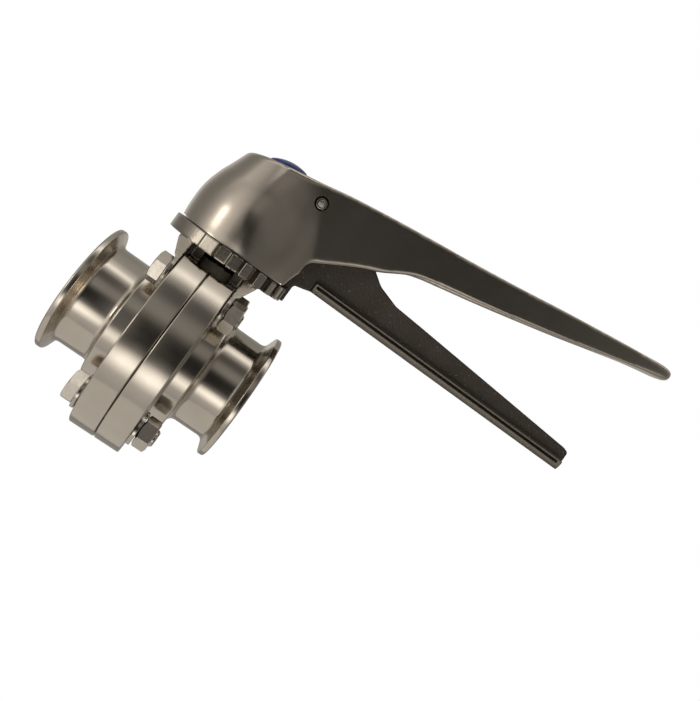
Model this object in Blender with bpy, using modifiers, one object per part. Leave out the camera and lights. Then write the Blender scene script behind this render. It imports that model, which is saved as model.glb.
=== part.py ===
"""Two inch clamp-end butterfly valve with a squeeze-trigger pull handle.

The pipe runs along X and the stem along Z, and they cross at the origin. The
handle lies along +X, which is valve open: the disc then stands edge-on to the
flow. The handle turns clockwise, seen from above, to close. Metres throughout.
"""
import math

import bmesh
import bpy
from mathutils import Matrix, Vector

MM = 0.001
GAP = 0.3 * MM                # clearance between neighbouring solids

# pipe ends
BORE_R = 23.75 * MM
TUBE_R = 25.4 * MM
FERRULE_R = 32.0 * MM
FERRULE_LIP = 2.85 * MM
FERRULE_TAPER = math.radians(20)
HALF_LENGTH = 44.4 * MM       # from the split face to the end of a ferrule
GASKET_R = 28.25 * MM         # middle of the gasket groove
GASKET_HALF = 1.75 * MM
GASKET_DEPTH = 1.4 * MM

# body
FLANGE_R = 51.0 * MM
FLANGE_T = 12.7 * MM
COLLAR_R = 32.0 * MM
COLLAR_END = 21.0 * MM
EDGE = 0.6 * MM               # small edge break on turned parts
TOP_FLAT_Z = 40.5 * MM        # milled flat that the stem comes out of
SEAT_R = 31.0 * MM
SEAT_BORE_R = 23.8 * MM
SEAT_HALF = 8.7 * MM
BOLT_PLACE = 30.4 * MM        # across and up from the pipe axis to a bolt
BOLT_R = 4.0 * MM
BOLT_HOLE_R = 4.5 * MM
HEX_FLATS = 13.0 * MM
HEAD_T = 5.3 * MM
NUT_T = 6.5 * MM
BOLT_END_X = 22.8 * MM
WASHER_R = 8.0 * MM
WASHER_T = 1.6 * MM

# disc and stem
DISC_R = 23.4 * MM
DISC_HUB_HALF = 6.0 * MM
DISC_RIM_HALF = 2.0 * MM
STEM_R = 6.0 * MM
STEM_FOOT_Z = -42.0 * MM
STEM_SHOULDER_Z = 54.0 * MM
STEM_TOP_Z = 85.5 * MM
STEM_SQUARE = 8.4 * MM
BUSH_R = 8.5 * MM
BUSH_IN_Z = 31.6 * MM         # nearer end of both bushes, from the pipe axis
UPPER_BUSH_Z = 44.0 * MM
LOWER_BUSH_Z = -43.3 * MM
O_RING_R = 7.4 * MM
O_RING_WIRE_R = 1.0 * MM

# index plate
PLATE_Z = 46.7 * MM
PLATE_T = 6.7 * MM
PLATE_R = 31.5 * MM           # over the teeth
PLATE_BACK_R = 28.3 * MM      # where it has no teeth
PLATE_BORE_R = 10.0 * MM
NOTCH_R = 27.4 * MM
END_NOTCHES = (-90, 0)        # degrees, shut and open
END_NOTCH_HALF = 6.5          # degrees, half of an end notch
INNER_NOTCHES = (-75, -60, -45, -30, -15)
INNER_NOTCH_HALF = 3.6
STOP_SPAN = 14                # degrees that a stop takes past an end notch
STOP_NEAR_R = 32.0 * MM       # a stop's flat face leans out towards its notch
STOP_FAR_R = 30.7 * MM
LEG_FOOT_T = 2.0 * MM
LEG_TOP_T = 6.8 * MM
LEG_SPOT_Z = 38.5 * MM        # top of the flat spot that a bolt's head or nut lies on
LEG_STEP = 1.2 * MM
LEG_TOP_HALF_Y = 24.0 * MM
LEG_EAR_R = 8.5 * MM
LEG_ARCH_R = 33.4 * MM
BRIDGE_FRONT = -6.0 * MM      # the bridge joins the legs behind the stem
BRIDGE_BACK = 23.0 * MM
BRIDGE_LAP = 0.5 * MM

# handle
BELL_X = 3.0 * MM             # the bell is not quite centred on the stem
BELL_OUTLINE = (              # radius and height, base first
    (28.3, 53.7), (29.4, 57.5), (29.8, 62.0), (29.8, 68.0), (29.3, 73.0), (28.6, 76.8),
    (25.4, 84.6), (21.8, 93.8), (19.6, 99.5), (17.0, 106.0),
)
BELL_INSIDE = ((25.0, 53.0), (25.0, 74.0), (21.5, 80.5), (14.0, 84.0))
DECK_Z = 97.5 * MM            # height of the sloping top over the stem
DECK_SLOPE = math.radians(11.4)
HUB_R = 12.5 * MM
HUB_Z = 58.0 * MM
HUB_FLOOR_Z = 89.0 * MM       # face that the stem screw pulls down on
SCREW_WELL_R = 8.2 * MM
CAP_R = 9.3 * MM
CAP_SEAT = 1.8 * MM
CAP_WALL = 2.2 * MM           # height of the plug at its rim, over the deck
CAP_RISE = 4.4 * MM
# x, half width, bottom and top of the grip, in millimetres
GRIP_STATIONS = (
    (6.0, 20.0, 53.7, 98.9), (18.0, 19.0, 53.7, 101.2), (27.4, 17.8, 53.7, 103.4),
    (31.6, 17.2, 53.7, 104.3), (32.2, 17.1, 69.0, 104.4), (45.2, 15.4, 76.9, 106.9),
    (61.6, 13.8, 85.6, 109.8), (74.5, 13.1, 92.4, 111.9), (89.6, 12.6, 97.0, 114.1),
    (110.4, 12.2, 101.6, 117.4), (143.5, 11.4, 109.8, 123.1), (173.6, 10.6, 118.2, 127.9),
    (190.0, 10.1, 122.2, 130.2), (200.0, 9.7, 124.3, 131.5), (206.0, 8.6, 125.8, 131.3),
    (209.2, 6.6, 127.6, 129.8),
)
GRIP_ROUND = 5.0              # millimetres, radius along the grip's top edges
GRIP_WALL = 3.2
GRIP_ROOF = 2.4
HOLLOW_FROM = 13.6
HOLLOW_TO = 173.6

# trigger
PIN_X = 21.2 * MM
PIN_Z = 93.3 * MM
PIN_R = 2.5 * MM
PIN_BORE_R = 1.5 * MM
PIN_HALF = 18.2 * MM
TRIGGER_EYE_R = 5.2 * MM
TRIGGER_EYE_HALF = 14.2 * MM
TRIGGER_HALF = 4.5 * MM
FLANGE_HALF = 9.5 * MM
FLANGE_BOX = (41.5, 186.0, 59.9, 63.8)      # x from, x to, z from, z to, in millimetres
TRIGGER_OUTLINE = (           # x and z in millimetres, round from the eye's back
    (16.2, 92.0), (21.5, 74.0), (25.6, 62.0), (25.8, 54.3), (33.0, 54.3), (33.3, 57.0),
    (38.5, 58.5), (42.5, 60.2), (120.0, 60.2), (185.6, 60.6), (188.4, 63.5), (188.2, 67.6),
    (185.6, 69.4), (142.7, 72.2), (91.9, 75.4), (79.8, 76.0), (72.0, 77.2), (66.0, 79.6),
    (60.0, 83.0), (53.5, 88.5), (40.0, 88.5), (34.0, 91.0), (25.6, 96.0),
)
TONGUE_BOX = (28.2, 32.9, 47.6, 56.0)       # x from, x to, z from, z to, in millimetres
TONGUE_HALF = 1.2 * MM
SPRING_X = 46.5 * MM
SPRING_Z = 88.9 * MM
SPRING_TOP_Z = 103.6 * MM
SPRING_R = 4.0 * MM
SPRING_WIRE_R = 0.6 * MM
SPRING_TURNS = 6

TURNED_STEPS = 40
SMALL_STEPS = 24

PARTS = "butterfly_valve"
CUTTERS = "cutters"


def mm(*values):
    """Millimetres to metres."""
    return tuple(v * MM for v in values)


def arc(cx, cy, radius, start, end, count):
    """Points of an arc, with its angles in degrees, both ends included."""
    points = []
    for i in range(count + 1):
        a = math.radians(start + (end - start) * i / count)
        points.append((cx + radius * math.cos(a), cy + radius * math.sin(a)))
    return points


def material(name, colour, roughness, metallic):
    mat = bpy.data.materials.get(name) or bpy.data.materials.new(name)
    mat.use_nodes = True
    shader = mat.node_tree.nodes["Principled BSDF"]
    shader.inputs["Base Color"].default_value = (*colour, 1)
    shader.inputs["Roughness"].default_value = roughness
    shader.inputs["Metallic"].default_value = metallic
    return mat


def turned_steel():
    return material("turned_steel", (0.55, 0.52, 0.48), 0.25, 1)


def cast_steel():
    return material("cast_steel", (0.42, 0.39, 0.35), 0.38, 1)


def grey_cast():
    return material("grey_cast", (0.13, 0.125, 0.12), 0.6, 0.6)


def bright_steel():
    return material("bright_steel", (0.65, 0.63, 0.6), 0.22, 1)


def seat_rubber():
    return material("seat_rubber", (0.75, 0.73, 0.7), 0.55, 0)


def bush_plastic():
    return material("bush_plastic", (0.85, 0.84, 0.8), 0.45, 0)


def blue_plastic():
    return material("blue_plastic", (0.02, 0.11, 0.35), 0.3, 0)


def add(name, mesh, mat=None, cutter=False):
    """Put a mesh into the scene as a part or as a cutter."""
    obj = bpy.data.objects.new(name, mesh)
    bpy.data.collections[CUTTERS if cutter else PARTS].objects.link(obj)
    if cutter:
        obj.hide_render = True
        obj.display_type = "WIRE"
    else:
        mesh.materials.append(mat)
    return obj


def smooth(obj, angle=35):
    obj.data.shade_smooth()
    obj.data.set_sharp_from_angle(angle=math.radians(angle))


def turned(name, profile, mat=None, steps=TURNED_STEPS, closed=True, cutter=False):
    """Turn a profile of radius and height about Z with a Screw modifier."""
    mesh = bpy.data.meshes.new(name)
    verts = [(r, 0, h) for r, h in profile]
    edges = [(i, i + 1) for i in range(len(verts) - 1)]
    if closed:
        edges.append((len(verts) - 1, 0))
    mesh.from_pydata(verts, edges, [])
    obj = add(name, mesh, mat, cutter)
    screw = obj.modifiers.new("turn", "SCREW")
    screw.axis = "Z"
    screw.steps = steps
    screw.render_steps = steps
    screw.use_merge_vertices = True
    screw.merge_threshold = 0.00002
    screw.use_smooth_shade = True
    return obj


def cylinder(name, radius, low, high, mat=None, sides=SMALL_STEPS, cutter=False):
    """A cylinder, or a prism with few sides, along Z between two heights."""
    bm = bmesh.new()
    bmesh.ops.create_cone(
        bm, cap_ends=True, segments=sides, radius1=radius, radius2=radius, depth=high - low,
        matrix=Matrix.Translation((0, 0, (low + high) / 2)))
    mesh = bpy.data.meshes.new(name)
    bm.to_mesh(mesh)
    bm.free()
    return add(name, mesh, mat, cutter)


def box(name, low, high, mat=None, cutter=False):
    """A box between two corners."""
    bm = bmesh.new()
    size = Vector(high) - Vector(low)
    middle = (Vector(high) + Vector(low)) / 2
    bmesh.ops.create_cube(bm, size=1, matrix=Matrix.LocRotScale(middle, None, size))
    mesh = bpy.data.meshes.new(name)
    bm.to_mesh(mesh)
    bm.free()
    return add(name, mesh, mat, cutter)


def extruded(name, outline, half, turn, place=(0, 0, 0), mat=None, cutter=False):
    """A flat outline made thick on both sides, as a mesh, then turned and placed."""
    curve = bpy.data.curves.new(name, "CURVE")
    curve.dimensions = "2D"
    curve.fill_mode = "BOTH"
    curve.extrude = half
    spline = curve.splines.new("POLY")
    spline.points.add(len(outline) - 1)
    for point, (x, y) in zip(spline.points, outline):
        point.co = (x, y, 0, 1)
    spline.use_cyclic_u = True
    drawn = bpy.data.objects.new(name + "_curve", curve)
    bpy.context.scene.collection.objects.link(drawn)
    bpy.context.view_layer.update()
    mesh = bpy.data.meshes.new_from_object(drawn.evaluated_get(bpy.context.evaluated_depsgraph_get()))
    bpy.data.objects.remove(drawn)
    mesh.name = name
    bm = bmesh.new()
    bm.from_mesh(mesh)
    bmesh.ops.remove_doubles(bm, verts=bm.verts, dist=0.00001)
    bmesh.ops.recalc_face_normals(bm, faces=bm.faces)
    bm.transform(Matrix.Translation(place) @ turn)
    bm.to_mesh(mesh)
    bm.free()
    return add(name, mesh, mat, cutter)


# an outline drawn in X and Y is stood up in the plane of X and Z, or of Y and Z
IN_XZ = Matrix.Rotation(math.pi / 2, 4, "X")
IN_YZ = Matrix(((0, 0, 1, 0), (1, 0, 0, 0), (0, 1, 0, 0), (0, 0, 0, 1)))
# a solid made along Z is laid along X, -X or Y
ALONG_X = (0, math.pi / 2, 0)
ALONG_BACK_X = (0, -math.pi / 2, 0)
ALONG_Y = (-math.pi / 2, 0, 0)


def loft(name, rings, mat=None, cutter=False):
    """Join rings of equal length, each a list of points, into a closed skin."""
    bm = bmesh.new()
    loops = [[bm.verts.new(p) for p in ring] for ring in rings]
    count = len(rings[0])
    for a, b in zip(loops, loops[1:]):
        for i in range(count):
            j = (i + 1) % count
            bm.faces.new((a[i], a[j], b[j], b[i]))
    bm.faces.new(loops[0])
    bm.faces.new(loops[-1])
    bmesh.ops.recalc_face_normals(bm, faces=bm.faces)
    mesh = bpy.data.meshes.new(name)
    bm.to_mesh(mesh)
    bm.free()
    return add(name, mesh, mat, cutter)


def boolean(obj, tool, operation="DIFFERENCE"):
    change = obj.modifiers.new(operation.lower() + "_" + tool.name, "BOOLEAN")
    change.operation = operation
    change.object = tool
    return obj


def hexagon_radius():
    return HEX_FLATS / math.sqrt(3)


# ---------------------------------------------------------------- body

def body_profile():
    """Half of the valve's body, turned about the pipe axis, split face at the bottom."""
    top = HALF_LENGTH
    neck = FERRULE_R - 4.0 * MM
    back = top - FERRULE_LIP
    taper_end = back - (FERRULE_R - EDGE - neck) * math.tan(FERRULE_TAPER)
    fillet = neck - TUBE_R
    points = [(BORE_R, top), (GASKET_R - GASKET_HALF, top)]
    groove_floor = top - GASKET_DEPTH
    points += [(GASKET_R - GASKET_HALF / 2, groove_floor), (GASKET_R + GASKET_HALF / 2, groove_floor)]
    points += [(GASKET_R + GASKET_HALF, top), (FERRULE_R - EDGE, top), (FERRULE_R, top - EDGE)]
    points += [(FERRULE_R, back + EDGE), (FERRULE_R - EDGE, back), (neck, taper_end)]
    points += arc(neck, taper_end - fillet, fillet, 120, 180, 3)
    step = 3.0 * MM
    points += arc(TUBE_R + step, COLLAR_END + step, step, 180, 270, 4)
    points += [(COLLAR_R - 1.2 * MM, COLLAR_END), (COLLAR_R, COLLAR_END - 1.2 * MM)]
    points += [(COLLAR_R, FLANGE_T + 1.2 * MM), (COLLAR_R + 1.2 * MM, FLANGE_T)]
    points += [(FLANGE_R - EDGE, FLANGE_T), (FLANGE_R, FLANGE_T - EDGE)]
    points += [(FLANGE_R, GAP / 2 + EDGE), (FLANGE_R - EDGE, GAP / 2)]
    points += [(SEAT_R + GAP, GAP / 2), (SEAT_R + GAP, SEAT_HALF + GAP), (BORE_R, SEAT_HALF + GAP)]
    return points


def body_cutters():
    """What both halves are cut by: the stem's bores, the top flat and the bolt holes."""
    upper = cylinder("cut_upper_bore", BUSH_R + GAP, SEAT_R - MM, FLANGE_R + MM, cutter=True)
    lower = cylinder("cut_lower_bore", BUSH_R + GAP, LOWER_BUSH_Z - GAP, -SEAT_R + MM, cutter=True)
    flat = box("cut_top_flat", mm(-20, -60, TOP_FLAT_Z / MM), mm(20, 60, 60), cutter=True)
    tools = [upper, lower, flat]
    for number, (y, z) in enumerate(bolt_places(), 1):
        hole = cylinder(f"cut_bolt_hole_{number}", BOLT_HOLE_R, -15 * MM, 15 * MM, cutter=True)
        hole.rotation_euler = ALONG_X
        hole.location = (0, y, z)
        tools.append(hole)
    return tools


def bolt_places():
    """Y and Z of each bolt: the two beside the stem's top first."""
    return [(side * BOLT_PLACE, up * BOLT_PLACE) for up in (1, -1) for side in (-1, 1)]


def make_body():
    tools = body_cutters()
    for name, turn in (("body_half_left", ALONG_BACK_X), ("body_half_right", ALONG_X)):
        half = turned(name, body_profile(), turned_steel())
        half.rotation_euler = turn
        for tool in tools:
            boolean(half, tool)


def make_seat():
    """The elastomer ring that the disc closes on, held in the recess between the halves."""
    nose = MM
    profile = [(SEAT_BORE_R + nose, SEAT_HALF), (SEAT_R, SEAT_HALF), (SEAT_R, -SEAT_HALF)]
    profile += [(SEAT_BORE_R + nose, -SEAT_HALF), (SEAT_BORE_R, -SEAT_HALF + nose)]
    profile += [(SEAT_BORE_R, SEAT_HALF - nose)]
    seat = turned("seat_ring", profile, seat_rubber())
    seat.rotation_euler = ALONG_X
    hole = cylinder("cut_seat_stem", STEM_R + GAP, -40 * MM, 40 * MM, cutter=True)
    boolean(seat, hole)


def make_bushes():
    inner = STEM_R + GAP
    upper = [(inner, UPPER_BUSH_Z), (BUSH_R, UPPER_BUSH_Z), (BUSH_R, BUSH_IN_Z), (inner, BUSH_IN_Z)]
    turned("upper_stem_bush", upper, bush_plastic(), SMALL_STEPS)
    floor = STEM_FOOT_Z - GAP
    lower = [(inner, floor), (inner, -BUSH_IN_Z), (BUSH_R, -BUSH_IN_Z), (BUSH_R, LOWER_BUSH_Z)]
    turned("lower_stem_bush", [(0, floor), *lower, (0, LOWER_BUSH_Z)], bush_plastic(), SMALL_STEPS, False)


def make_o_ring():
    """The stem's outer seal, lying on the upper bush."""
    height = UPPER_BUSH_Z + GAP + O_RING_WIRE_R
    ring = arc(O_RING_R, height, O_RING_WIRE_R, 180, -135, 7)
    turned("stem_o_ring", ring, seat_rubber(), SMALL_STEPS)


def ring(name, inner, outer, low, high, mat, steps=SMALL_STEPS):
    """A flat ring about Z."""
    return turned(name, [(inner, high), (outer, high), (outer, low), (inner, low)], mat, steps)


def make_fasteners():
    """Four bolts with their nuts, and washers where no bracket leg lies under them."""
    face = FLANGE_T + GAP
    for number, (y, z) in enumerate(bolt_places(), 1):
        packing = LEG_FOOT_T if z > 0 else WASHER_T
        seat = face + packing + GAP
        bolt = cylinder(f"hex_bolt_{number}", hexagon_radius(), -seat - HEAD_T, -seat, bright_steel(), 6)
        shank = cylinder(f"join_shank_{number}", BOLT_R, -seat - MM, BOLT_END_X, cutter=True)
        nut = cylinder(f"hex_nut_{number}", hexagon_radius(), seat, seat + NUT_T, bright_steel(), 6)
        nut_hole = cylinder(f"cut_nut_{number}", BOLT_R + GAP, 0, 2 * seat + NUT_T, cutter=True)
        boolean(bolt, shank, "UNION")
        boolean(nut, nut_hole)
        pieces = [bolt, shank, nut, nut_hole]
        if z < 0:
            inner = BOLT_R + GAP
            for side, low in (("left", -face - packing), ("right", face)):
                name = f"washer_{side}_{number}"
                pieces.append(ring(name, inner, WASHER_R, low, low + packing, bright_steel()))
        for piece in pieces:
            piece.rotation_euler = ALONG_X
            piece.location = (0, y, z)


# ---------------------------------------------------------------- disc and stem

def make_disc():
    """The disc stands in the plane of X and Z at rest, with its stem and square in one piece."""
    bulge = [(0, DISC_HUB_HALF), (STEM_R + 2 * MM, DISC_HUB_HALF - MM), (DISC_R - MM, DISC_RIM_HALF + EDGE)]
    bulge += [(DISC_R, DISC_RIM_HALF)]
    profile = bulge + [(r, -h) for r, h in reversed(bulge)]
    disc = turned("valve_disc", profile, turned_steel(), closed=False)
    disc.rotation_euler = ALONG_Y
    trim = 0.4 * MM
    stem = cylinder("join_stem", STEM_R, STEM_FOOT_Z, STEM_SHOULDER_Z, cutter=True)
    square = box(
        "join_square", (-STEM_SQUARE / 2, -STEM_SQUARE / 2, STEM_SHOULDER_Z - trim),
        (STEM_SQUARE / 2, STEM_SQUARE / 2, STEM_TOP_Z), cutter=True)
    boolean(disc, stem, "UNION")
    boolean(disc, square, "UNION")
    boolean(disc, cylinder("cut_stem_thread", 3.0 * MM, 70 * MM, 90 * MM, cutter=True))
    return disc


# ---------------------------------------------------------------- index plate

def polar(radius, angle):
    """A point from its radius and its angle in degrees."""
    return radius * math.cos(math.radians(angle)), radius * math.sin(math.radians(angle))


def plate_outline():
    """Notched from shut to open, a flat-faced stop past both end notches, smaller at the back."""
    shut, open_at = END_NOTCHES
    notches = [(shut, END_NOTCH_HALF), *[(at, INNER_NOTCH_HALF) for at in INNER_NOTCHES], (open_at, END_NOTCH_HALF)]
    first = shut - END_NOTCH_HALF
    last = open_at + END_NOTCH_HALF
    points = [polar(STOP_FAR_R, first - STOP_SPAN), polar(STOP_NEAR_R, first)]
    for (middle, half), (after, after_half) in zip(notches, notches[1:]):
        points += arc(0, 0, NOTCH_R, middle - half, middle + half, 2)
        points += arc(0, 0, PLATE_R, middle + half, after - after_half, 2)
    points += arc(0, 0, NOTCH_R, open_at - END_NOTCH_HALF, last, 2)
    points += [polar(STOP_NEAR_R, last), polar(STOP_FAR_R, last + STOP_SPAN)]
    points += arc(0, 0, PLATE_BACK_R, last + STOP_SPAN + 1, 360 + first - STOP_SPAN - 1, 24)
    return points


def leg_outline():
    """One bracket leg, drawn in Y and Z: an arch over the collar with an ear round each bolt."""
    ear = arc(BOLT_PLACE, BOLT_PLACE, LEG_EAR_R, 45, -100, 7)
    right = [(LEG_TOP_HALF_Y, PLATE_Z + GAP), *ear, *arc(0, 0, LEG_ARCH_R, 44, 90, 5)]
    left = [(-y, z) for y, z in reversed(right[:-1])]
    return right + left


def make_index_plate():
    top = PLATE_Z + PLATE_T
    middle = (PLATE_Z + top) / 2
    plate = extruded(
        "index_plate", plate_outline(), PLATE_T / 2, Matrix.Identity(4), (0, 0, middle), cast_steel())
    inner = FLANGE_T + GAP
    for side, name in ((-1, "left"), (1, "right")):
        leg = extruded(
            f"join_leg_{name}", leg_outline(), LEG_TOP_T / 2, IN_YZ,
            (side * (inner + LEG_TOP_T / 2), 0, 0), cutter=True)
        foot = inner + LEG_FOOT_T
        wedge = [(foot, 10 * MM), (foot, LEG_SPOT_Z), (foot + LEG_STEP, LEG_SPOT_Z + LEG_STEP / 2)]
        wedge += [(inner + LEG_TOP_T, PLATE_Z - MM)]
        wedge += [(40 * MM, PLATE_Z - MM), (40 * MM, 10 * MM)]
        slope = extruded(
            f"cut_leg_{name}", [(side * x, z) for x, z in wedge], 50 * MM, IN_XZ, cutter=True)
        boolean(leg, slope)
        boolean(plate, leg, "UNION")
    reach = inner + BRIDGE_LAP
    bridge = box(
        "join_bridge", (-reach, BRIDGE_FRONT, TOP_FLAT_Z + GAP), (reach, BRIDGE_BACK, PLATE_Z + MM), cutter=True)
    boolean(plate, bridge, "UNION")
    for number, (y, z) in enumerate(bolt_places()[:2], 1):
        hole = cylinder(f"cut_leg_hole_{number}", BOLT_HOLE_R, -30 * MM, 30 * MM, cutter=True)
        hole.rotation_euler = ALONG_X
        hole.location = (0, y, z)
        boolean(plate, hole)
    boolean(plate, cylinder("cut_plate_bore", PLATE_BORE_R, TOP_FLAT_Z - MM, top + MM, cutter=True))
    return plate


# ---------------------------------------------------------------- handle

def grip_ring(x, half, low, high, rounding):
    """One upright section of the grip, with rounded top edges."""
    rounding = min(rounding, half * 0.7, (high - low) * 0.5)
    side = arc(half - rounding, high - rounding, rounding, 0, 90, 4)
    right = [(half, low), *side]
    left = [(-y, z) for y, z in reversed(right)]
    return [(x * MM, y * MM, z * MM) for y, z in right + left]


def between(x):
    """The grip's half width, bottom and top at a place along it, in millimetres."""
    for a, b in zip(GRIP_STATIONS, GRIP_STATIONS[1:]):
        if a[0] <= x <= b[0]:
            share = (x - a[0]) / (b[0] - a[0])
            return [p + (q - p) * share for p, q in zip(a[1:], b[1:])]
    return GRIP_STATIONS[-1][1:]


def grip():
    rings = [grip_ring(*station, GRIP_ROUND) for station in GRIP_STATIONS]
    return loft("join_grip", rings, cutter=True)


def grip_hollow():
    """The channel under the grip that the trigger works in."""
    inside = [s[0] for s in GRIP_STATIONS if HOLLOW_FROM < s[0] < HOLLOW_TO]
    rings = []
    for x in [HOLLOW_FROM, *inside, HOLLOW_TO]:
        half, low, high = between(x)
        roof = max(high - GRIP_ROOF, low + MM)
        floor = low - 12 if x > 40 else 48
        rings.append(grip_ring(x, half - GRIP_WALL, floor, roof, GRIP_ROUND - 2))
    return loft("cut_grip_hollow", rings, cutter=True)


def deck_matrix(above=0.0):
    """A frame on the sloping top of the bell, over the stem, with its Z out of the deck."""
    tilt = Matrix.Rotation(-DECK_SLOPE, 4, "Y")
    return Matrix.Translation((0, 0, DECK_Z)) @ tilt @ Matrix.Translation((0, 0, above))


def bell():
    """The handle's round head, as a closed turned solid."""
    outline = [mm(r, z) for r, z in BELL_OUTLINE]
    profile = [(0, outline[-1][1]), *reversed(outline), (0, outline[0][1])]
    solid = turned("handle", profile, cast_steel(), closed=False)
    solid.location.x = BELL_X
    return solid


def bell_inside():
    outline = [mm(r, z) for r, z in BELL_INSIDE]
    profile = [(0, outline[-1][1]), *reversed(outline), (0, outline[0][1])]
    hollow = turned("cut_bell_inside", profile, closed=False, cutter=True)
    hollow.location.x = BELL_X
    return hollow


def make_handle():
    handle = bell()
    deck = box("cut_deck", mm(-60, -40, 0), mm(60, 40, 40), cutter=True)
    deck.matrix_world = deck_matrix()
    boolean(handle, deck)
    boolean(handle, grip(), "UNION")
    boolean(handle, bell_inside())
    boolean(handle, grip_hollow())
    hub = cylinder("join_hub", HUB_R, HUB_Z, HUB_FLOOR_Z - 2 * MM, sides=TURNED_STEPS, cutter=True)
    boolean(handle, hub, "UNION")
    half = STEM_SQUARE / 2 + GAP
    socket = box("cut_square", (-half, -half, 50 * MM), (half, half, STEM_TOP_Z + GAP), cutter=True)
    boolean(handle, socket)
    boolean(handle, cylinder("cut_screw_way", 3.4 * MM, 80 * MM, 95 * MM, cutter=True))
    boolean(handle, cylinder("cut_screw_well", SCREW_WELL_R, HUB_FLOOR_Z, 110 * MM, cutter=True))
    seat = cylinder("cut_cap_seat", CAP_R + GAP, -CAP_SEAT - GAP, 10 * MM, cutter=True, sides=TURNED_STEPS)
    seat.matrix_world = deck_matrix()
    boolean(handle, seat)
    hole = cylinder("cut_pin_hole", PIN_R + GAP, -30 * MM, 30 * MM, cutter=True)
    hole.rotation_euler = ALONG_Y
    hole.location = (PIN_X, 0, PIN_Z)
    boolean(handle, hole)
    return handle


def make_cap():
    """The blue plug over the stem screw: a low wall with a shallow dome, on the deck."""
    crown = CAP_RISE - CAP_WALL
    sphere = (CAP_R ** 2 + crown ** 2) / (2 * crown)
    span = math.degrees(math.asin(CAP_R / sphere))
    dome = arc(0, CAP_RISE - sphere, sphere, 90, 90 - span, 5)
    profile = [(0, CAP_RISE), *dome[1:], (CAP_R, -CAP_SEAT), (0, -CAP_SEAT)]
    cap = turned("indicator_cap", profile, blue_plastic(), closed=False)
    cap.matrix_world = deck_matrix()
    return cap


def make_stem_screw():
    washer_top = HUB_FLOOR_Z + GAP + 1.5 * MM
    washer = ring("stem_washer", 3.4 * MM, 7.2 * MM, HUB_FLOOR_Z + GAP, washer_top, bright_steel())
    under = washer_top + GAP
    profile = [(0, under + 1.4 * MM), mm(1.6, under / MM + 1.4), mm(1.6, under / MM + 3.2)]
    profile += [mm(3.6, under / MM + 3.2), mm(5.2, under / MM + 1.4), (5.2 * MM, under)]
    profile += [(2.7 * MM, under), mm(2.7, 73), mm(0, 73)]
    screw = turned("stem_screw", profile, bright_steel(), SMALL_STEPS, False)
    return [washer, screw]


def make_pin():
    """A slotted spring pin across the handle, held by the walls."""
    pin = ring("trigger_pin", PIN_BORE_R, PIN_R, -PIN_HALF, PIN_HALF, bright_steel(), 20)
    slot = box("cut_pin_slot", mm(0.2, -0.45, -30), mm(4, 0.45, 30), cutter=True)
    boolean(pin, slot)
    for obj in (pin, slot):
        obj.rotation_euler = ALONG_Y
        obj.location = (PIN_X, 0, PIN_Z)
    return pin


# ---------------------------------------------------------------- trigger

def make_trigger():
    outline = [mm(x, z) for x, z in TRIGGER_OUTLINE]
    trigger = extruded("trigger", outline, TRIGGER_HALF, IN_XZ, mat=grey_cast())
    eye = cylinder("join_trigger_eye", TRIGGER_EYE_R, -TRIGGER_EYE_HALF, TRIGGER_EYE_HALF, cutter=True)
    eye.rotation_euler = ALONG_Y
    eye.location = (PIN_X, 0, PIN_Z)
    x0, x1, z0, z1 = mm(*FLANGE_BOX)
    flange = box("join_trigger_flange", (x0, -FLANGE_HALF, z0), (x1, FLANGE_HALF, z1), cutter=True)
    edge = flange.modifiers.new("round", "BEVEL")
    edge.width = 0.8 * MM
    edge.segments = 2
    x0, x1, z0, z1 = mm(*TONGUE_BOX)
    tongue = box("join_tongue", (x0, -TONGUE_HALF, z0), (x1, TONGUE_HALF, z1), cutter=True)
    for tool in (eye, flange, tongue):
        boolean(trigger, tool, "UNION")
    hole = cylinder("cut_trigger_eye", PIN_R + GAP, -30 * MM, 30 * MM, cutter=True)
    hole.rotation_euler = ALONG_Y
    hole.location = (PIN_X, 0, PIN_Z)
    boolean(trigger, hole)
    return trigger


def make_spring():
    """A coil between the trigger's top and the roof of the grip."""
    curve = bpy.data.curves.new("trigger_spring", "CURVE")
    curve.dimensions = "3D"
    curve.bevel_depth = SPRING_WIRE_R
    curve.bevel_resolution = 1
    curve.use_fill_caps = True
    per_turn = 14
    count = SPRING_TURNS * per_turn
    low = SPRING_Z + SPRING_WIRE_R
    high = SPRING_TOP_Z - SPRING_WIRE_R
    spline = curve.splines.new("POLY")
    spline.points.add(count)
    for i, point in enumerate(spline.points):
        a = 2 * math.pi * i / per_turn
        x = SPRING_X + SPRING_R * math.cos(a)
        point.co = (x, SPRING_R * math.sin(a), low + (high - low) * i / count, 1)
    spring = bpy.data.objects.new("trigger_spring", curve)
    curve.materials.append(bright_steel())
    bpy.data.collections[PARTS].objects.link(spring)
    return spring


# ---------------------------------------------------------------- assembly

def axis_empty(name, place):
    empty = bpy.data.objects.new(name, None)
    empty.empty_display_size = 0.02
    empty.location = place
    bpy.data.collections[PARTS].objects.link(empty)
    return empty


def carry(parent, pieces):
    """Parent pieces to an empty on their joint's axis, leaving them where they are."""
    for piece in pieces:
        piece.parent = parent
        piece.matrix_parent_inverse = Matrix.Translation(parent.location).inverted()


def main():
    for obj in list(bpy.data.objects):
        bpy.data.objects.remove(obj)
    for name in (PARTS, CUTTERS):
        bpy.context.scene.collection.children.link(bpy.data.collections.new(name))
    make_body()
    make_seat()
    make_bushes()
    make_o_ring()
    make_fasteners()
    make_index_plate()
    turning = [make_disc(), make_handle(), make_cap(), make_pin(), make_spring(), *make_stem_screw()]
    carry(axis_empty("stem_axis", (0, 0, 0)), turning)
    carry(axis_empty("trigger_axis", (PIN_X, 0, PIN_Z)), [make_trigger()])
    for obj in bpy.data.collections[PARTS].objects:
        if obj.type == "MESH":
            smooth(obj)


main()
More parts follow.
